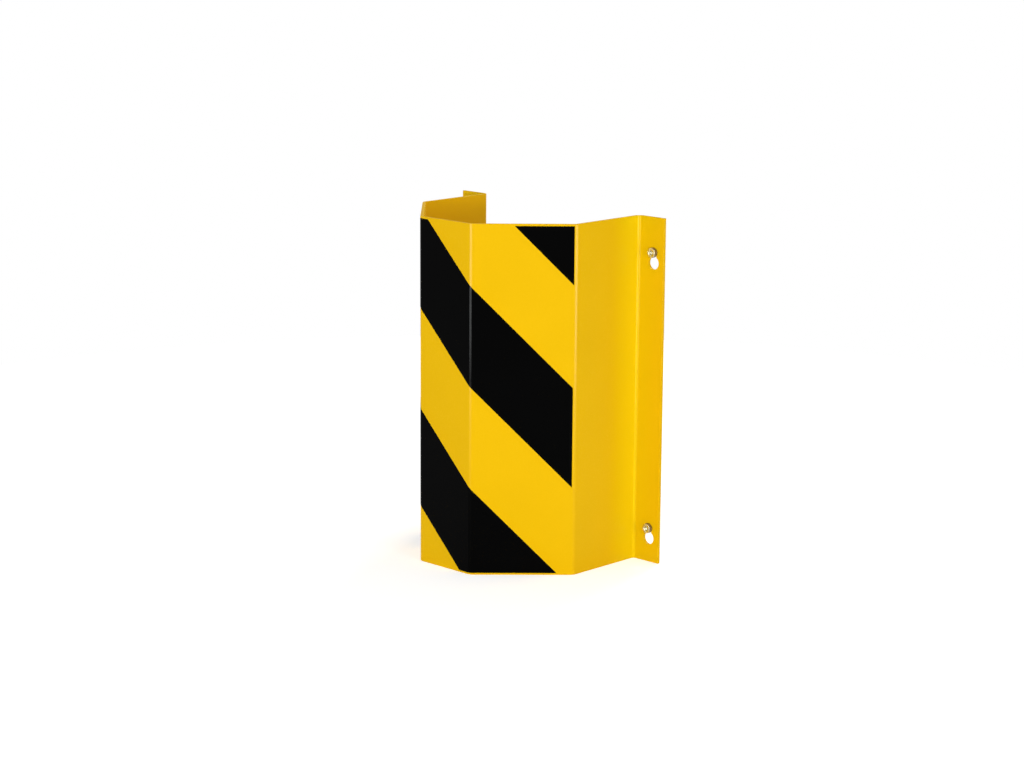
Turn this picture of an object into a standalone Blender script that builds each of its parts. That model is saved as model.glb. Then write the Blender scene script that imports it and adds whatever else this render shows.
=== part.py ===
"""Pipe protection guard: a folded yellow steel sheet with black diagonal film bands and four cap screws.

The guard stands on its bottom edge, its two flanges against a wall and its folded front around a pipe.
X runs along the wall, +Y points into the wall and +Z is up. The origin is the middle of the footprint.
Written for Blender 4.5, in metres.
"""

import math
from dataclasses import dataclass

import bmesh
import bpy
from mathutils import Matrix, Vector

# Guard sheet: outside sizes, and the 90 degree and 45 degree folds' inside radius
HEIGHT = 0.350
BOX_WIDTH = 0.215
DEPTH = 0.165
FRONT_WIDTH = 0.070
CHAMFER_ANGLE = math.radians(45)
FLANGE_WIDTH = 0.0325
SHEET = 0.003
INNER_BEND = 0.003
EDGE_ROUND = 0.0004

# Low cap screws with a hexagon socket
HEAD_DIAMETER = 0.010
HEAD_HEIGHT = 0.004
HEAD_EDGE = 0.0005
SHANK_DIAMETER = 0.006
SHANK_LENGTH = 0.012
SHANK_POINT = 0.0008
SOCKET_FLATS = 0.004
SOCKET_DEPTH = 0.0022
SOCKET_CONE = 0.0006

# Keyhole slots, one for each screw: the screw's place on the flange, and the slot around it
SCREW_FROM_EDGE = 0.013
SCREW_FROM_END = 0.035
HEAD_CLEARANCE = 0.003
NECK_LENGTH = 0.004
SEAT_GAP = 0.0003

# Black film bands, laid over the sheet: widths square across the bands, from the top right corner down
TOP_CORNER_BAND = 0.0407
BAND_WIDTH = 0.0705
BOTTOM_CORNER_BAND = 0.0383
BAND_ANGLE = math.radians(45)
FILM_MARGIN = 0.002
FILM_THICKNESS = 0.0003

# Fineness of the round stretches; the socket's corners need a multiple of six sides
STEPS_PER_BEND = 8
KEYHOLE_STEPS = 24
SCREW_SIDES = 24
MERGE_DISTANCE = 0.00001

# Sizes that follow from those above
OUTER_BEND = INNER_BEND + SHEET
KEYHOLE_RADIUS = (HEAD_DIAMETER + HEAD_CLEARANCE) / 2
NECK_RADIUS = SHANK_DIAMETER / 2 + SEAT_GAP
SCREW_X = BOX_WIDTH / 2 + FLANGE_WIDTH - SCREW_FROM_EDGE
SCREW_HEIGHTS = {"top": HEIGHT - SCREW_FROM_END, "bottom": SCREW_FROM_END}
SCREW_SEAT = -SHEET - SEAT_GAP
SCREW_TIP = SCREW_SEAT + SHANK_LENGTH
FRONT_REACH = DEPTH + SEAT_GAP + FILM_THICKNESS
WALL_Y = (FRONT_REACH - SCREW_TIP) / 2


# The fold line is the sheet's outer face seen from above, with the wall at y = 0

def outward(heading):
    """The outer face lies on the right of the way along the fold line."""
    return Vector((heading.y, -heading.x))


@dataclass
class Stretch:
    """A flat panel, or a bend that turns left (positive) or right, measured on the outer face."""

    start: Vector
    heading: Vector
    length: float
    turn: float

    def point(self, along, lift):
        """The point this far along the stretch, lifted off the outer face, or inside it below zero."""
        if not self.turn:
            return self.start + self.heading * along + outward(self.heading) * lift
        radius = self.length / self.turn
        centre = self.start - outward(self.heading) * radius
        swung = Matrix.Rotation(self.turn * along / self.length, 2) @ self.heading
        return centre + outward(swung) * (radius + lift)


def fold_corners():
    """Sharp corners of the outer face, from the left flange's free edge to the right one's."""
    chamfer_run = (BOX_WIDTH - FRONT_WIDTH) / 2
    side_depth = DEPTH - chamfer_run * math.tan(CHAMFER_ANGLE)
    right = [
        Vector((FRONT_WIDTH / 2, -DEPTH)),
        Vector((BOX_WIDTH / 2, -side_depth)),
        Vector((BOX_WIDTH / 2, -SHEET)),
        Vector((BOX_WIDTH / 2 + FLANGE_WIDTH, -SHEET)),
    ]
    left = [Vector((-corner.x, corner.y)) for corner in reversed(right)]
    return left + right


def fold_line():
    """Seven flat panels with a bend between each two, in order from the left flange to the right one."""
    corners = fold_corners()
    line = []
    start = corners[0]
    for before, corner, after in zip(corners, corners[1:], corners[2:]):
        heading = (corner - before).normalized()
        leaving = (after - corner).normalized()
        turn = math.atan2(heading.cross(leaving), heading.dot(leaving))
        radius = OUTER_BEND if turn > 0 else INNER_BEND
        setback = radius * math.tan(abs(turn) / 2)
        bend_start = corner - heading * setback
        line.append(Stretch(start, heading, (bend_start - start).length, 0.0))
        line.append(Stretch(bend_start, heading, radius * abs(turn), turn))
        start = corner + leaving * setback
    line.append(Stretch(start, leaving, (corners[-1] - start).length, 0.0))
    return line


def bend_marks(bend):
    """Places along a bend that make it round."""
    return [bend.length * step / STEPS_PER_BEND for step in range(STEPS_PER_BEND + 1)]


def point_across(line, across, lift):
    """The point that lies this far along the outer face from the front's centre line."""
    along = across + sum(stretch.length for stretch in line) / 2
    for stretch in line:
        if along <= stretch.length:
            return stretch.point(along, lift)
        along -= stretch.length
    return line[-1].point(line[-1].length + along, lift)


# Meshes

def skin_rings(rings):
    """A closed shape through rings of as many points each; rings may shrink to an edge or a point."""
    shape = bmesh.new()
    loops = [[shape.verts.new(point) for point in ring] for ring in rings]
    for near, far in zip(loops, loops[1:]):
        for index in range(len(near)):
            after = (index + 1) % len(near)
            shape.faces.new((near[index], near[after], far[after], far[index]))
    shape.faces.new(loops[0])
    shape.faces.new(loops[-1])
    bmesh.ops.remove_doubles(shape, verts=shape.verts, dist=MERGE_DISTANCE)
    return shape


def extrude_outline(points, direction):
    """A prism of a flat outline."""
    shape = bmesh.new()
    face = shape.faces.new([shape.verts.new(point) for point in points])
    grown = bmesh.ops.extrude_face_region(shape, geom=[face])
    top = [item for item in grown["geom"] if isinstance(item, bmesh.types.BMVert)]
    bmesh.ops.translate(shape, verts=top, vec=direction)
    return shape


def finished_mesh(name, shape, finish=None):
    """A mesh with its faces pointing out, round stretches smooth and real edges sharp."""
    bmesh.ops.recalc_face_normals(shape, faces=shape.faces)
    mesh = bpy.data.meshes.new(name)
    shape.to_mesh(mesh)
    shape.free()
    mesh.shade_smooth()
    mesh.set_sharp_from_angle(angle=math.radians(30))
    if finish:
        mesh.materials.append(finish)
    return mesh


def place(name, mesh, guard, location=(0, 0, 0)):
    obj = bpy.data.objects.new(name, mesh)
    obj.parent = guard
    obj.location = location
    bpy.context.collection.objects.link(obj)
    return obj


def material(name, colour, roughness, metallic):
    made = bpy.data.materials.new(name)
    made.use_nodes = True
    shader = made.node_tree.nodes["Principled BSDF"]
    shader.inputs["Base Color"].default_value = (*colour, 1.0)
    shader.inputs["Roughness"].default_value = roughness
    shader.inputs["Metallic"].default_value = metallic
    return made


# The folded sheet and its keyhole slots

def sheet_outline(line):
    """The sheet's section: along its outer face and back along its inner face."""
    marks = [(line[0], 0.0)]
    for bend in line[1::2]:
        marks += [(bend, along) for along in bend_marks(bend)]
    marks.append((line[-1], line[-1].length))
    outer = [stretch.point(along, 0.0) for stretch, along in marks]
    inner = [stretch.point(along, -SHEET) for stretch, along in reversed(marks)]
    return [(point.x, point.y, 0.0) for point in outer + inner]


def keyhole_outline():
    """A hole that lets the screw's head through, with a neck up to the shank at the outline's origin."""
    hole_z = -NECK_LENGTH - KEYHOLE_RADIUS
    mouth = math.asin(NECK_RADIUS / KEYHOLE_RADIUS)
    points = []
    for step in range(KEYHOLE_STEPS + 1):
        angle = mouth + 2 * (math.pi - mouth) * step / KEYHOLE_STEPS
        points.append((KEYHOLE_RADIUS * math.sin(angle), hole_z + KEYHOLE_RADIUS * math.cos(angle)))
    for step in range(KEYHOLE_STEPS // 2 + 1):
        angle = math.pi * (2 * step / KEYHOLE_STEPS - 0.5)
        points.append((NECK_RADIUS * math.sin(angle), NECK_RADIUS * math.cos(angle)))
    return points


def add_sheet(line, guard, finish):
    shape = extrude_outline(sheet_outline(line), Vector((0, 0, HEIGHT)))
    return place("guard_sheet", finished_mesh("guard_sheet", shape, finish), guard)


def cut_keyhole(sheet, cutter_mesh, name, guard, location):
    cutter = place(name, cutter_mesh, guard, location)
    cutter.hide_render = True
    cutter.display_type = "WIRE"
    cut = sheet.modifiers.new(name, "BOOLEAN")
    cut.operation = "DIFFERENCE"
    cut.solver = "EXACT"
    cut.object = cutter


def keyhole_cutter():
    """A prism of the keyhole's outline that reaches a sheet's thickness past both faces."""
    points = [(x, -2 * SHEET, z) for x, z in keyhole_outline()]
    return finished_mesh("keyhole_cutter", extrude_outline(points, Vector((0, 3 * SHEET, 0))))


def round_cut_edges(sheet):
    """The coating rounds the sheet's cut edges a little."""
    bevel = sheet.modifiers.new("cut_edges", "BEVEL")
    bevel.width = EDGE_ROUND
    bevel.segments = 2
    bevel.limit_method = "ANGLE"
    bevel.angle_limit = math.radians(70)


# Cap screws

def socket_radius(angle):
    """Distance from the screw's axis to a side of its hexagon socket."""
    from_flat = (angle % math.radians(60)) - math.radians(30)
    return SOCKET_FLATS / 2 / math.cos(from_flat)


def screw_ring(y, radius):
    """Points around the screw's axis, which runs along Y; radius is a number or a rule by angle."""
    points = []
    for side in range(SCREW_SIDES):
        angle = 2 * math.pi * side / SCREW_SIDES
        reach = radius(angle) if callable(radius) else radius
        points.append((reach * math.cos(angle), y, reach * math.sin(angle)))
    return points


def screw_mesh(finish):
    """A cap screw from its tip to the bottom of its socket, with the wall at y = 0."""
    face = SCREW_SEAT - HEAD_HEIGHT
    shank = SHANK_DIAMETER / 2
    head = HEAD_DIAMETER / 2
    rings = [
        screw_ring(SCREW_TIP, shank - SHANK_POINT),
        screw_ring(SCREW_TIP - SHANK_POINT, shank),
        screw_ring(SCREW_SEAT, shank),
        screw_ring(SCREW_SEAT, head),
        screw_ring(face + HEAD_EDGE, head),
        screw_ring(face, head - HEAD_EDGE),
        screw_ring(face, socket_radius),
        screw_ring(face + SOCKET_DEPTH, socket_radius),
        screw_ring(face + SOCKET_DEPTH + SOCKET_CONE, 0.0),
    ]
    return finished_mesh("cap_screw", skin_rings(rings), finish)


def add_screws(sheet, guard, finish):
    """One screw in the neck of each keyhole slot."""
    mesh = screw_mesh(finish)
    cutter_mesh = keyhole_cutter()
    for side, x in (("left", -SCREW_X), ("right", SCREW_X)):
        for end, z in SCREW_HEIGHTS.items():
            cut_keyhole(sheet, cutter_mesh, f"keyhole_{side}_{end}", guard, (x, 0, z))
            place(f"screw_{side}_{end}", mesh, guard, (x, 0, z))


# Film bands

def band_rings(line, reach, upper, lower):
    """Sections of a band whose edges cross the front's centre line at these two heights.

    A band falls from left to right and is clipped to the film's margins, so its ends may be points.
    """
    front, bend = line[6:8]
    slope = math.tan(BAND_ANGLE)
    low = FILM_MARGIN
    high = HEIGHT - FILM_MARGIN
    start = max(-reach, (lower - high) / slope)
    end = min(reach, (upper - low) / slope)
    turns = [front.length / 2 + mark for mark in bend_marks(bend)]
    turns += [-turn for turn in turns]
    turns += [(upper - high) / slope, (lower - low) / slope]
    rings = []
    for across in sorted([start, end] + [turn for turn in turns if start < turn < end]):
        bottom = max(low, lower - slope * across)
        top = min(high, upper - slope * across)
        under = point_across(line, across, SEAT_GAP)
        over = point_across(line, across, SEAT_GAP + FILM_THICKNESS)
        rings.append([(*under, bottom), (*under, top), (*over, top), (*over, bottom)])
    return rings


def add_bands(line, guard, finish):
    """Bands with even gaps from the film's top right corner to its bottom left one.

    The film stops where the bends to the sides start.
    """
    front, bend, chamfer = line[6:9]
    reach = front.length / 2 + bend.length + chamfer.length
    widths = [TOP_CORNER_BAND, BAND_WIDTH, BAND_WIDTH, BOTTOM_CORNER_BAND]
    film_height = HEIGHT - 2 * FILM_MARGIN
    span = film_height * math.cos(BAND_ANGLE) + 2 * reach * math.sin(BAND_ANGLE)
    gap = (span - sum(widths)) / (len(widths) - 1)
    upper = HEIGHT - FILM_MARGIN + reach * math.tan(BAND_ANGLE)
    for number, width in enumerate(widths, start=1):
        lower = upper - width / math.cos(BAND_ANGLE)
        name = f"film_band_{number}"
        shape = skin_rings(band_rings(line, reach, upper, lower))
        place(name, finished_mesh(name, shape, finish), guard)
        upper = lower - gap / math.cos(BAND_ANGLE)


def main():
    for obj in list(bpy.data.objects):
        bpy.data.objects.remove(obj, do_unlink=True)
    yellow = material("yellow_powder_coat", (0.85, 0.52, 0.006), 0.32, 0.0)
    black = material("black_gloss_film", (0.008, 0.008, 0.009), 0.18, 0.0)
    zinc = material("bright_zinc", (0.72, 0.72, 0.70), 0.28, 1.0)

    guard = bpy.data.objects.new("pipe_guard", None)
    guard.location = (0, WALL_Y, 0)
    bpy.context.collection.objects.link(guard)

    line = fold_line()
    sheet = add_sheet(line, guard, yellow)
    add_screws(sheet, guard, zinc)
    round_cut_edges(sheet)
    add_bands(line, guard, black)


main()
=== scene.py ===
"""Looks for the pipe protection guard: its coated sheet, black film bands and cap screws.

Sizes are in metres. X runs along the wall, +Y points into the wall and +Z is up.
"""

import math
from dataclasses import dataclass

import bmesh
import bpy
from mathutils import Matrix, Vector


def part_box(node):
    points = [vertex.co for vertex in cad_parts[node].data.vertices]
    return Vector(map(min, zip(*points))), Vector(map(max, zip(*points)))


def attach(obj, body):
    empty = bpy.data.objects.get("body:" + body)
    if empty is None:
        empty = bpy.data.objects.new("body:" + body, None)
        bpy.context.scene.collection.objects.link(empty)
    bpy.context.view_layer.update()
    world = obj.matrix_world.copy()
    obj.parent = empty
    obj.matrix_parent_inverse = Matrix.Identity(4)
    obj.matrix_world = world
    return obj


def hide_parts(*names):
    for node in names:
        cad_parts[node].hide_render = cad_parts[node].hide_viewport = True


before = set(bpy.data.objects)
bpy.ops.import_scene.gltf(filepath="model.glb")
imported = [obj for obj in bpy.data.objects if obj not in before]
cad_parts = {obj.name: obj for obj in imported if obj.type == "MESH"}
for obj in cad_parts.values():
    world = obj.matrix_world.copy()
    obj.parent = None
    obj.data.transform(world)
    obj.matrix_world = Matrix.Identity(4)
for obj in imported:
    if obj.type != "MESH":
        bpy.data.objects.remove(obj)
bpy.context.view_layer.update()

# Folded sheet
HEIGHT = 0.350
BOX_WIDTH = 0.215
DEPTH = 0.165
FRONT_WIDTH = 0.070
CHAMFER_ANGLE = math.radians(45)
FLANGE_WIDTH = 0.0325
SHEET = 0.003
INNER_BEND = 0.003
OUTER_BEND = INNER_BEND + SHEET
EDGE_ROUND = 0.0003
FOLD_DRAW = 0.0002
WALL_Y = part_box("guard_sheet")[1].y

# Cap screws; the crest is the share of the pitch that the thread's flat top takes
HEAD_RADIUS = 0.005
HEAD_HEIGHT = 0.004
HEAD_EDGE = 0.0006
THREAD_RADIUS = 0.003
THREAD_ROOT = 0.0024
THREAD_PITCH = 0.001
THREAD_CREST = 0.2
SHANK_LENGTH = 0.012
SHANK_POINT = 0.0008
SOCKET_SIDES = 6
SOCKET_FLATS = 0.004
SOCKET_DEPTH = 0.0022
SOCKET_CONE = 0.0006
MOUTH_RADIUS = 0.0025
MOUTH_DEPTH = 0.0003

# Places of the screws and their keyhole slots, which are measured from the screw's axis
SCREW_FROM_EDGE = 0.013
SCREW_FROM_END = 0.035
SEAT_GAP = 0.0003
HEAD_CLEARANCE = 0.0015
NECK_LENGTH = 0.004
SCREW_X = BOX_WIDTH / 2 + FLANGE_WIDTH - SCREW_FROM_EDGE
SCREW_HEIGHTS = {"top": HEIGHT - SCREW_FROM_END, "bottom": SCREW_FROM_END}
SCREW_SEAT = -SHEET - SEAT_GAP
SCREW_TIP = SCREW_SEAT + SHANK_LENGTH
KEYHOLE_RADIUS = HEAD_RADIUS + HEAD_CLEARANCE
NECK_RADIUS = THREAD_RADIUS + SEAT_GAP

# Film bands, from the top right corner down
BAND_WIDTHS = [0.0407, 0.0705, 0.0705, 0.0383]
BAND_ANGLE = math.radians(45)
FILM_MARGIN = 0.002
FILM_LIFT = 0.00005
FILM_THICKNESS = 0.00015

# Fineness of the round stretches; the thread's steps are for one turn of it
BEND_STEPS = 12
KEYHOLE_STEPS = 48
SCREW_SIDES = 48
THREAD_STEPS = 10
HEAD_EDGE_STEPS = 5
CUT_EDGE_STEPS = 3
MERGE_DISTANCE = 0.00001

# Turns between faces from which an edge is shaded sharp, and from which it is rounded
SHARP_ANGLE = math.radians(35)
CUT_EDGE_ANGLE = math.radians(70)

# Finishes: gloss, widths of the noise's patches and heights of the relief
COAT_SPECULAR = 0.036
COAT_DRIFT = 0.06
COAT_GRAIN = 0.0012
COAT_PEEL = 0.0024
COAT_RELIEF = 0.00006
# How far from an outer corner the painted light and shade reach
PAINTED_CORNER_REACH = 0.045
FILM_SPECULAR = 0.018
FILM_DRIFT = 0.05
FILM_RIPPLE = 0.004
FILM_PEEL = 0.0015
FILM_RELIEF = 0.00005
ZINC_CLOUD = 0.0012
ZINC_RELIEF = 0.00004
TURNING_PITCH = 0.00015
KNURL_COUNT = 40

# Camera; the lens is in millimetres
LENS = 88.03
CAMERA_PLACE = (1.72452, -1.76358, 0.70331)
CAMERA_BEARING = math.radians(44.233)
CAMERA_PITCH = math.radians(12.098)
CAMERA_ROLL = math.radians(0.383)

# Studio; a lamp's bearing is in degrees round from the front to the right
FLOOR_RADIUS = 1.15
FLOOR_SIDES = 96
FLOOR_PAINT = (0.78, 0.78, 0.78, 1.0)
FLOOR_GLOW = 0.55
WORLD_FILL = 0.52
LAMP_AIM = Vector((0.0, 0.0, 0.17))
LAMP_DISTANCE = 2.2
LAMP_COLOUR = (0.98, 1.0, 1.0)
LAMPS = {
    "left_lamp": {"bearing": 14.0, "height": 0.38, "size": (0.80, 0.40), "power": 17.6},
    "right_lamp": {"bearing": 78.0, "height": 0.38, "size": (0.80, 0.40), "power": 14.4},
    "back_lamp": {"bearing": 195.0, "height": 1.80, "size": (0.90, 0.70), "power": 26.0},
}
# Strips that only the gloss of coat and film shows; upright folds mirror what stands low
STRIPS = {
    "front_strip": {"bearing": 0.0, "height": -0.16, "size": (1.40, 0.70), "power": 140.0},
    "side_strip": {"bearing": 90.0, "height": -0.16, "size": (1.40, 0.70), "power": 140.0},
}


# Shader values

class Socket:
    """A shader value that Python can add, take away and multiply; each step adds its node."""

    def __init__(self, graph, output):
        self.graph = graph
        self.output = output

    def __add__(self, other):
        return self.graph.maths("ADD", self, other)

    def __sub__(self, other):
        return self.graph.maths("SUBTRACT", self, other)

    def __rsub__(self, other):
        return self.graph.maths("SUBTRACT", other, self)

    def __mul__(self, other):
        return self.graph.maths("MULTIPLY", self, other)

    __radd__ = __add__
    __rmul__ = __mul__


class Graph:
    """The nodes of one material or of the world."""

    def __init__(self, owner):
        owner.use_nodes = True
        self.tree = owner.node_tree

    def feed(self, node, inputs):
        """Sets or links a node's open inputs, by name or by place."""
        ways_in = [socket for socket in node.inputs if socket.enabled]
        by_name = {socket.name: socket for socket in reversed(ways_in)}
        for key, value in inputs.items():
            target = ways_in[key] if isinstance(key, int) else by_name[key]
            if isinstance(value, Socket):
                self.tree.links.new(value.output, target)
            else:
                target.default_value = value

    def node(self, kind, settings=None, inputs=None):
        """Adds a node and gives its outputs by name."""
        made = self.tree.nodes.new(kind)
        for name, value in (settings or {}).items():
            setattr(made, name, value)
        self.feed(made, inputs or {})
        return {output.name: Socket(self, output) for output in made.outputs if output.enabled}

    def maths(self, operation, *terms):
        """The result of one operation on numbers or shader values."""
        return self.node("ShaderNodeMath", {"operation": operation}, dict(enumerate(terms)))["Value"]

    def mix(self, share, colour, other):
        """The first colour where the share is zero, and the other where it is one."""
        inputs = {"Factor": share, "A": colour, "B": other}
        return self.node("ShaderNodeMix", {"data_type": "RGBA"}, inputs)["Result"]

    def rise(self, value, start, end):
        """Zero up to the start, one from the end on and smooth between them."""
        inputs = {"Value": value, "From Min": start, "From Max": end}
        return self.node("ShaderNodeMapRange", {"interpolation_type": "SMOOTHSTEP"}, inputs)["Result"]

    def noise(self, place, size, detail=2.0):
        """Noise around 0.5 whose patches are about this many metres wide."""
        inputs = {"Vector": place, "Scale": 1 / size, "Detail": detail}
        return self.node("ShaderNodeTexNoise", None, inputs)["Fac"]

    def bump(self, height, relief):
        """A normal for relief that is this many metres high where the height is one."""
        return self.node("ShaderNodeBump", None, {"Height": height, "Distance": relief})["Normal"]


def blank_finish(name, settings):
    """A material, its graph, its shader and the place on the piece.

    The settings are numbers that are the same all over the surface.
    """
    material = bpy.data.materials.new(name)
    graph = Graph(material)
    shader = graph.tree.nodes["Principled BSDF"]
    graph.feed(shader, settings)
    place = graph.node("ShaderNodeTexCoord")["Object"]
    return material, graph, shader, place


def painted_corner_shares(graph, place):
    """Closeness to an outer corner between side and wall flange, and the flange's share of it.

    They place the painted light and shade by the corners. The closeness is one in the corner, and
    zero beyond its reach and on inner faces. The share is zero on the side and one on the flange.
    """
    axes = graph.node("ShaderNodeSeparateXYZ", None, {"Vector": place})
    aside = graph.maths("ABSOLUTE", axes["X"]) - BOX_WIDTH / 2
    ahead = -SHEET - axes["Y"]
    reach = graph.maths("SQRT", aside * aside + ahead * ahead)
    # The outer faces lie at zero and the inner ones a whole thickness behind them
    inside = -SHEET / 4
    outer = graph.maths("GREATER_THAN", aside, inside) * graph.maths("GREATER_THAN", ahead, inside)
    painted_corner_nearness = (1 - graph.rise(reach, 0.0, PAINTED_CORNER_REACH)) * outer
    return painted_corner_nearness, graph.rise(aside - ahead, -INNER_BEND, INNER_BEND)


def rim_share(graph, place):
    """One on the sheet's cut edges at its top and foot, and zero between them."""
    axes = graph.node("ShaderNodeSeparateXYZ", None, {"Vector": place})
    from_middle = graph.maths("ABSOLUTE", axes["Z"] - HEIGHT / 2)
    return graph.maths("GREATER_THAN", from_middle, HEIGHT / 2 - EDGE_ROUND)


def powder_coat():
    """Smooth yellow powder coat: a fine orange peel, duller rims, and painted light and shade by the
    outer corners.
    """
    settings = {"Specular IOR Level": COAT_SPECULAR}
    material, graph, shader, place = blank_finish("yellow_powder_coat", settings)
    drift = graph.noise(place, COAT_DRIFT)
    grain = graph.noise(place, COAT_GRAIN, 1.0)
    peel = graph.noise(place, COAT_PEEL, 1.0)
    tone = 0.6 * drift + 0.4 * grain
    full = (0.892, 0.524, 0.003, 1.0)
    thin = (0.804, 0.464, 0.001, 1.0)
    # Painted light by the outer corners: the side is lighter and greener as a painted reflection of the
    # flange, and the flange is darker and less orange as painted shade against the light that the side
    # bounces onto it
    side_painted_reflection = (0.910, 0.635, 0.003, 1.0)
    flange_painted_shade = (0.780, 0.510, 0.002, 1.0)
    painted_corner_nearness, on_flange = painted_corner_shares(graph, place)
    corner_painted_light = graph.mix(on_flange, side_painted_reflection, flange_painted_shade)
    graph.feed(shader, {
        "Base Color": graph.mix(painted_corner_nearness, graph.mix(tone, thin, full), corner_painted_light),
        "Roughness": 0.20 + 0.12 * grain + 0.25 * rim_share(graph, place),
        "Normal": graph.bump(peel, COAT_RELIEF),
    })
    return material


def gloss_film():
    """Black adhesive film, which shows the coat's texture faintly and drifts a little in tone."""
    settings = {"Specular IOR Level": FILM_SPECULAR}
    material, graph, shader, place = blank_finish("black_gloss_film", settings)
    ripple = graph.noise(place, FILM_RIPPLE, 1.0)
    peel = graph.noise(place, FILM_PEEL, 1.0)
    drift = graph.noise(place, FILM_DRIFT)
    deep = (0.0005, 0.0005, 0.0005, 1.0)
    pale = (0.0010, 0.0010, 0.0010, 1.0)
    graph.feed(shader, {
        "Base Color": graph.mix(drift, deep, pale),
        "Roughness": 0.12 + 0.10 * peel,
        "Normal": graph.bump(0.6 * ripple + 0.4 * peel, FILM_RELIEF),
    })
    return material


def zinc_plate():
    """Bright zinc on steel: turning marks round the axis and a duller, knurled side of the head that is
    painted dark as shade.
    """
    material, graph, shader, place = blank_finish("bright_zinc", {"Metallic": 1.0})
    axes = graph.node("ShaderNodeSeparateXYZ", None, {"Vector": place})
    reach = graph.maths("SQRT", axes["X"] * axes["X"] + axes["Z"] * axes["Z"])
    turn = graph.maths("ARCTAN2", axes["Z"], axes["X"])
    side = graph.maths("GREATER_THAN", reach, HEAD_RADIUS - HEAD_EDGE / 4)
    marks = graph.maths("SINE", reach * (2 * math.pi / TURNING_PITCH))
    knurl = graph.maths("SINE", turn * KNURL_COUNT)
    cloud = graph.noise(place, ZINC_CLOUD)
    clouded = (0.52, 0.50, 0.35, 1.0)
    bright = (0.82, 0.78, 0.58, 1.0)
    # The head's side is painted dark: painted shade on the side wall and in its knurl
    side_painted_shade = (0.32, 0.26, 0.16, 1.0)
    graph.feed(shader, {
        "Base Color": graph.mix(side, graph.mix(cloud, clouded, bright), side_painted_shade),
        "Roughness": 0.18 + 0.14 * cloud + 0.2 * side,
        "Normal": graph.bump(0.3 * marks + cloud + 3.0 * side * knurl, ZINC_RELIEF),
    })
    return material


# The fold line is the sheet's outer face seen from above, with the wall at y = 0

def outward(heading):
    """The outer face lies on the right of the way along the fold line."""
    return Vector((heading.y, -heading.x))


@dataclass
class Stretch:
    """A flat panel, or a bend that turns left (positive) or right, measured on the outer face."""

    start: Vector
    heading: Vector
    length: float
    turn: float

    def point(self, along, lift):
        """The point this far along the stretch, lifted off the outer face, or inside it below zero."""
        if not self.turn:
            return self.start + self.heading * along + outward(self.heading) * lift
        radius = self.length / self.turn
        centre = self.start - outward(self.heading) * radius
        swung = Matrix.Rotation(self.turn * along / self.length, 2) @ self.heading
        return centre + outward(swung) * (radius + lift)


def fold_corners():
    """Sharp corners of the outer face, from the left flange's free edge to the right one's."""
    chamfer_run = (BOX_WIDTH - FRONT_WIDTH) / 2
    side_depth = DEPTH - chamfer_run * math.tan(CHAMFER_ANGLE)
    right = [
        Vector((FRONT_WIDTH / 2, -DEPTH)),
        Vector((BOX_WIDTH / 2, -side_depth)),
        Vector((BOX_WIDTH / 2, -SHEET)),
        Vector((BOX_WIDTH / 2 + FLANGE_WIDTH, -SHEET)),
    ]
    left = [Vector((-corner.x, corner.y)) for corner in reversed(right)]
    return left + right


def fold_line():
    """Seven flat panels with a bend between each two, in order from the left flange to the right one."""
    corners = fold_corners()
    line = []
    start = corners[0]
    for before, corner, after in zip(corners, corners[1:], corners[2:]):
        heading = (corner - before).normalized()
        leaving = (after - corner).normalized()
        turn = math.atan2(heading.cross(leaving), heading.dot(leaving))
        radius = OUTER_BEND if turn > 0 else INNER_BEND
        setback = radius * math.tan(abs(turn) / 2)
        bend_start = corner - heading * setback
        line.append(Stretch(start, heading, (bend_start - start).length, 0.0))
        line.append(Stretch(bend_start, heading, radius * abs(turn), turn))
        start = corner + leaving * setback
    line.append(Stretch(start, leaving, (corners[-1] - start).length, 0.0))
    return line


def front_half(line):
    """The front panel, the bend on its right and the right 45 degree panel."""
    front = len(line) // 2
    return line[front], line[front + 1], line[front + 2]


def bend_marks(bend):
    """Places along a bend that make it round."""
    return [bend.length * step / BEND_STEPS for step in range(BEND_STEPS + 1)]


def point_across(line, across, lift):
    """The point that lies this far along the outer face from the front's centre line."""
    along = across + sum(stretch.length for stretch in line) / 2
    for stretch in line:
        if along <= stretch.length:
            return stretch.point(along, lift)
        along -= stretch.length
    return line[-1].point(line[-1].length + along, lift)


# Meshes

def skin_rings(rings):
    """A closed shape through rings of as many points each; rings may shrink to an edge or a point."""
    shape = bmesh.new()
    loops = [[shape.verts.new(point) for point in ring] for ring in rings]
    for near, far in zip(loops, loops[1:]):
        for index in range(len(near)):
            after = (index + 1) % len(near)
            shape.faces.new((near[index], near[after], far[after], far[index]))
    shape.faces.new(loops[0])
    shape.faces.new(loops[-1])
    bmesh.ops.remove_doubles(shape, verts=shape.verts, dist=MERGE_DISTANCE)
    return shape


def finished_mesh(name, shape, material=None):
    """A mesh with its faces pointing out, round stretches smooth and real edges sharp."""
    bmesh.ops.recalc_face_normals(shape, faces=shape.faces)
    mesh = bpy.data.meshes.new(name)
    shape.to_mesh(mesh)
    shape.free()
    mesh.shade_smooth()
    mesh.set_sharp_from_angle(angle=SHARP_ANGLE)
    if material:
        mesh.materials.append(material)
    return mesh


def new_object(name, mesh, location=(0.0, 0.0, 0.0)):
    """An object whose mesh is drawn with the wall at y = 0, moved to where the wall's plane is."""
    piece = bpy.data.objects.new(name, mesh)
    piece.location = Vector(location) + Vector((0.0, WALL_Y, 0.0))
    bpy.context.scene.collection.objects.link(piece)
    return piece


def stand_in(piece, node):
    """The piece is shown in place of a solid, and rides with the guard."""
    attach(piece, "root")
    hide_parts(node)


def even_shading(piece):
    """Flat panels keep their own shading up to the bends beside them."""
    weighted = piece.modifiers.new("even_shading", "WEIGHTED_NORMAL")
    weighted.keep_sharp = True


# The folded sheet

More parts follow.
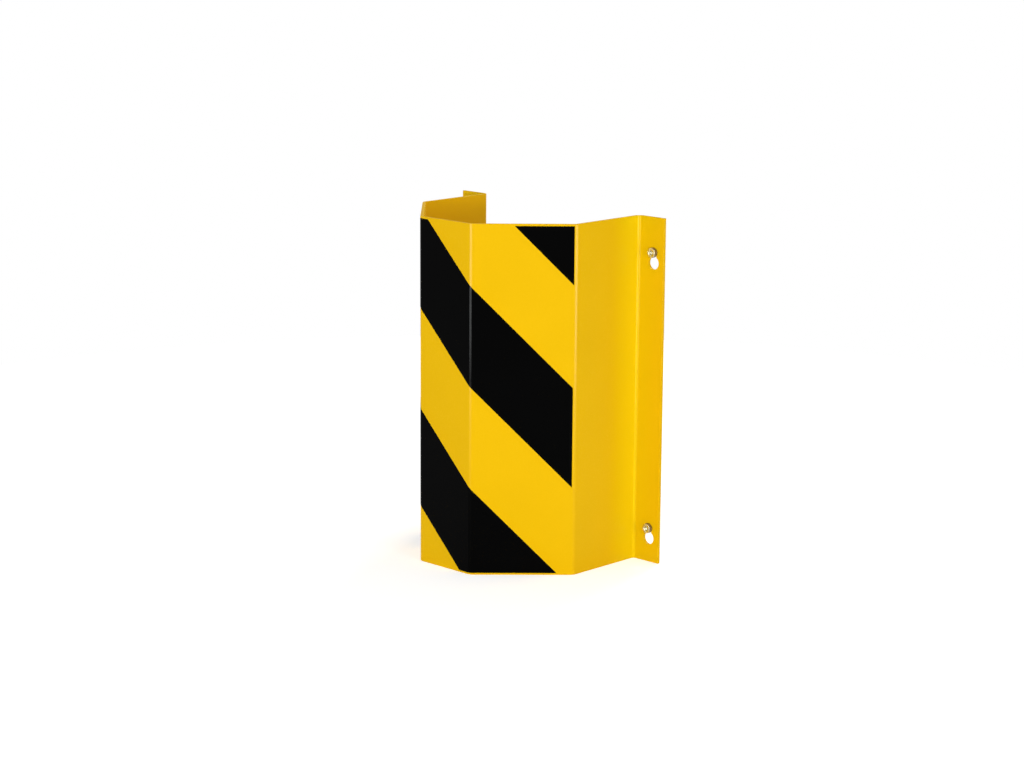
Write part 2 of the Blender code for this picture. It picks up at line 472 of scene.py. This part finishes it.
def sheet_section(stretch, along):
    """The sheet's four corners at a mark, from the stretched face's foot to the pressed face's.

    A fold draws the ends of the face that it stretches in a little.
    """
    outer = stretch.point(along, 0.0)
    inner = stretch.point(along, -SHEET)
    stretched, pressed = (outer, inner) if stretch.turn >= 0 else (inner, outer)
    drawn = FOLD_DRAW * math.sin(math.pi * along / stretch.length) ** 2 if stretch.turn else 0.0
    return [
        (*stretched, drawn),
        (*stretched, HEIGHT - drawn),
        (*pressed, HEIGHT),
        (*pressed, 0.0),
    ]


def sheet_rings(line):
    """Sections from free edge to free edge, all from the outer face's foot to the inner face's."""
    marks = [(line[0], 0.0)]
    for bend in line[1::2]:
        marks += [(bend, along) for along in bend_marks(bend)]
    marks.append((line[-1], line[-1].length))
    rings = []
    for stretch, along in marks:
        ring = sheet_section(stretch, along)
        rings.append(ring[::-1] if stretch.turn < 0 else ring)
    return rings


def keyhole_outline():
    """A hole that lets the screw's head through, with a neck up to the shank at the outline's origin."""
    hole_z = -NECK_LENGTH - KEYHOLE_RADIUS
    mouth = math.asin(NECK_RADIUS / KEYHOLE_RADIUS)
    points = []
    for step in range(KEYHOLE_STEPS + 1):
        angle = mouth + 2 * (math.pi - mouth) * step / KEYHOLE_STEPS
        points.append((KEYHOLE_RADIUS * math.sin(angle), hole_z + KEYHOLE_RADIUS * math.cos(angle)))
    for step in range(KEYHOLE_STEPS // 2 + 1):
        angle = math.pi * (2 * step / KEYHOLE_STEPS - 0.5)
        points.append((NECK_RADIUS * math.sin(angle), NECK_RADIUS * math.cos(angle)))
    return points


def keyhole_cutter():
    """A prism of the keyhole's outline that reaches past both faces of the flange."""
    near, far = [[(x, y, z) for x, z in keyhole_outline()] for y in (-2 * SHEET, SHEET)]
    return finished_mesh("keyhole_cutter", skin_rings([near, far]))


def cut_keyholes(sheet):
    """Cuts the four slots for good, then takes the cutters away."""
    mesh = keyhole_cutter()
    cutters = []
    for x in (-SCREW_X, SCREW_X):
        for z in SCREW_HEIGHTS.values():
            cutter = new_object("keyhole_cutter", mesh, (x, 0.0, z))
            cut = sheet.modifiers.new("keyhole", "BOOLEAN")
            cut.operation = "DIFFERENCE"
            cut.solver = "EXACT"
            cut.object = cutter
            cutters.append(cutter)
    evaluated = sheet.evaluated_get(bpy.context.evaluated_depsgraph_get())
    sheet.data = bpy.data.meshes.new_from_object(evaluated)
    sheet.modifiers.clear()
    for cutter in cutters:
        bpy.data.objects.remove(cutter)


def round_cut_edges(piece):
    """The coat rounds the sheet's cut edges a little."""
    bevel = piece.modifiers.new("cut_edges", "BEVEL")
    bevel.width = EDGE_ROUND
    bevel.segments = CUT_EDGE_STEPS
    bevel.limit_method = "ANGLE"
    bevel.angle_limit = CUT_EDGE_ANGLE
    bevel.harden_normals = True


def add_sheet(line, coat):
    """The folded sheet with its slots, its rounded cut edges and its coat."""
    mesh = finished_mesh("coated_sheet", skin_rings(sheet_rings(line)), coat)
    sheet = new_object("coated_sheet", mesh)
    cut_keyholes(sheet)
    round_cut_edges(sheet)
    even_shading(sheet)
    stand_in(sheet, "guard_sheet")
    return sheet


# Film bands

def band_rings(line, reach, upper, lower):
    """Sections of a band whose edges cross the front's centre line at these two heights.

    A band falls from left to right and is clipped to the film's margins, so its ends may be points.
    """
    front, bend, _ = front_half(line)
    slope = math.tan(BAND_ANGLE)
    low = FILM_MARGIN
    high = HEIGHT - FILM_MARGIN
    start = max(-reach, (lower - high) / slope)
    end = min(reach, (upper - low) / slope)
    turns = [front.length / 2 + mark for mark in bend_marks(bend)]
    turns += [-turn for turn in turns]
    turns += [(upper - high) / slope, (lower - low) / slope]
    rings = []
    for across in sorted([start, end] + [turn for turn in turns if start < turn < end]):
        bottom = max(low, lower - slope * across)
        top = min(high, upper - slope * across)
        under = point_across(line, across, FILM_LIFT)
        over = point_across(line, across, FILM_LIFT + FILM_THICKNESS)
        rings.append([(*under, bottom), (*under, top), (*over, top), (*over, bottom)])
    return rings


def add_bands(line, film):
    """Bands with even gaps from the film's top right corner to its bottom left one.

    Widths, gaps and the span between the two corners are measured square to the bands.
    """
    front, bend, chamfer = front_half(line)
    reach = front.length / 2 + bend.length + chamfer.length
    film_height = HEIGHT - 2 * FILM_MARGIN
    span = film_height * math.cos(BAND_ANGLE) + 2 * reach * math.sin(BAND_ANGLE)
    gap = (span - sum(BAND_WIDTHS)) / (len(BAND_WIDTHS) - 1)
    upper = HEIGHT - FILM_MARGIN + reach * math.tan(BAND_ANGLE)
    bands = []
    for number, width in enumerate(BAND_WIDTHS, start=1):
        name = f"black_band_{number}"
        lower = upper - width / math.cos(BAND_ANGLE)
        shape = skin_rings(band_rings(line, reach, upper, lower))
        band = new_object(name, finished_mesh(name, shape, film))
        even_shading(band)
        stand_in(band, f"film_band_{number}")
        bands.append(band)
        upper = lower - gap / math.cos(BAND_ANGLE)
    return bands


# Cap screws

def socket_reach(angle):
    """Distance from the screw's axis to a side of its hexagon socket."""
    side_angle = 2 * math.pi / SOCKET_SIDES
    from_flat = angle % side_angle - side_angle / 2
    return SOCKET_FLATS / 2 / math.cos(from_flat)


def thread_reach(y, ease):
    """A rule for the thread's surface by angle, at a place along the axis; ease sinks it at the tip."""
    def reach(angle):
        turn = (y / THREAD_PITCH + angle / (2 * math.pi)) % 1.0
        crest = min(1.0, (0.5 - abs(turn - 0.5)) / (0.5 - THREAD_CREST / 2))
        return (THREAD_ROOT + (THREAD_RADIUS - THREAD_ROOT) * crest) * ease
    return reach


def screw_ring(y, radius):
    """Points around the screw's axis, which runs along Y; radius is a number or a rule by angle."""
    points = []
    for side in range(SCREW_SIDES):
        angle = 2 * math.pi * side / SCREW_SIDES
        reach = radius(angle) if callable(radius) else radius
        points.append((reach * math.cos(angle), y, reach * math.sin(angle)))
    return points


def thread_rings():
    """The shank from its pointed tip to the underside of the head."""
    count = round(SHANK_LENGTH / THREAD_PITCH * THREAD_STEPS)
    rings = [screw_ring(SCREW_TIP, 0.0)]
    for step in range(count + 1):
        from_tip = SHANK_LENGTH * step / count
        ease = min(1.0, 1.0 - SHANK_POINT / THREAD_RADIUS * (1.0 - from_tip / SHANK_POINT))
        y = SCREW_TIP - from_tip
        rings.append(screw_ring(y, thread_reach(y, ease)))
    return rings


def rounded_edge(face):
    """Rings of the quarter round from the head's side to its flat face."""
    rings = []
    for step in range(HEAD_EDGE_STEPS + 1):
        angle = math.pi / 2 * step / HEAD_EDGE_STEPS
        y = face + HEAD_EDGE * (1 - math.sin(angle))
        rings.append(screw_ring(y, HEAD_RADIUS - HEAD_EDGE * (1 - math.cos(angle))))
    return rings


def screw_mesh(zinc):
    """A cap screw from its tip to the bottom of its socket."""
    face = SCREW_SEAT - HEAD_HEIGHT
    rings = thread_rings()
    rings.append(screw_ring(SCREW_SEAT, HEAD_RADIUS))
    rings += rounded_edge(face)
    rings.append(screw_ring(face, MOUTH_RADIUS))
    rings.append(screw_ring(face + MOUTH_DEPTH, socket_reach))
    rings.append(screw_ring(face + SOCKET_DEPTH, socket_reach))
    rings.append(screw_ring(face + SOCKET_DEPTH + SOCKET_CONE, 0.0))
    return finished_mesh("cap_screw", skin_rings(rings), zinc)


def add_screws(zinc):
    """One screw in the neck of each slot; all four share a mesh."""
    mesh = screw_mesh(zinc)
    for side, x in (("left", -SCREW_X), ("right", SCREW_X)):
        for end, z in SCREW_HEIGHTS.items():
            screw = new_object(f"cap_screw_{side}_{end}", mesh, (x, 0.0, z))
            stand_in(screw, f"screw_{side}_{end}")


# Studio

def seen_rays(graph):
    """One for what the camera sees, straight or in gloss and glass, and zero for light on the object."""
    path = graph.node("ShaderNodeLightPath")
    return path["Is Camera Ray"] + path["Is Glossy Ray"] + path["Is Transmission Ray"]


def add_floor():
    """A pale round floor that shows white and keeps the guard's soft shadow."""
    shape = bmesh.new()
    bmesh.ops.create_circle(shape, cap_ends=True, segments=FLOOR_SIDES, radius=FLOOR_RADIUS)
    material = bpy.data.materials.new("pale_floor")
    graph = Graph(material)
    strength = FLOOR_GLOW * seen_rays(graph)
    glow = graph.node("ShaderNodeEmission", None, {"Strength": strength})["Emission"]
    paint = graph.node("ShaderNodeBsdfDiffuse", None, {"Color": FLOOR_PAINT})["BSDF"]
    both = graph.node("ShaderNodeAddShader", None, {0: paint, 1: glow})["Shader"]
    graph.feed(graph.tree.nodes["Material Output"], {"Surface": both})
    floor = bpy.data.objects.new("floor", finished_mesh("floor", shape, material))
    bpy.context.scene.collection.objects.link(floor)


def add_world():
    """White wherever it is seen, and a plain fill light elsewhere."""
    world = bpy.data.worlds.new("studio")
    bpy.context.scene.world = world
    graph = Graph(world)
    strength = WORLD_FILL + (1.0 - WORLD_FILL) * seen_rays(graph)
    graph.feed(graph.tree.nodes["Background"], {"Color": (1.0, 1.0, 1.0, 1.0), "Strength": strength})


def add_lamp(name, bearing, height, size, power):
    """A soft box that faces the guard and isn't seen itself."""
    light = bpy.data.lights.new(name, "AREA")
    light.shape = "RECTANGLE"
    light.size, light.size_y = size
    light.energy = power
    light.color = LAMP_COLOUR
    lamp = bpy.data.objects.new(name, light)
    angle = math.radians(bearing)
    lamp.location = (LAMP_DISTANCE * math.sin(angle), -LAMP_DISTANCE * math.cos(angle), height)
    lamp.rotation_euler = (lamp.location - LAMP_AIM).to_track_quat("Z", "Y").to_euler()
    lamp.visible_camera = False
    bpy.context.scene.collection.objects.link(lamp)
    return lamp


def add_strips(coated):
    """Strips for the gloss of these pieces alone, so the screws' metal keeps its own tone."""
    receivers = bpy.data.collections.new("coated_pieces")
    for piece in coated:
        receivers.objects.link(piece)
    for name, settings in STRIPS.items():
        strip = add_lamp(name, **settings)
        strip.visible_diffuse = False
        strip.light_linking.receiver_collection = receivers


def add_camera():
    """The camera at the photograph's place, which was fitted to the sheet's edges."""
    camera = bpy.data.objects.new("camera", bpy.data.cameras.new("camera"))
    camera.data.lens = LENS
    turned = (
        Matrix.Rotation(CAMERA_BEARING, 4, "Z")
        @ Matrix.Rotation(math.pi / 2 - CAMERA_PITCH, 4, "X")
        @ Matrix.Rotation(CAMERA_ROLL, 4, "Z")
    )
    camera.matrix_world = Matrix.Translation(CAMERA_PLACE) @ turned
    bpy.context.scene.collection.objects.link(camera)
    bpy.context.scene.camera = camera


def main():
    """Builds the guard first and then the studio around it."""
    line = fold_line()
    coated = [add_sheet(line, powder_coat())] + add_bands(line, gloss_film())
    add_screws(zinc_plate())
    add_floor()
    add_world()
    for name, settings in LAMPS.items():
        add_lamp(name, **settings)
    add_strips(coated)
    add_camera()
    bpy.context.scene.view_settings.view_transform = "Standard"


main()
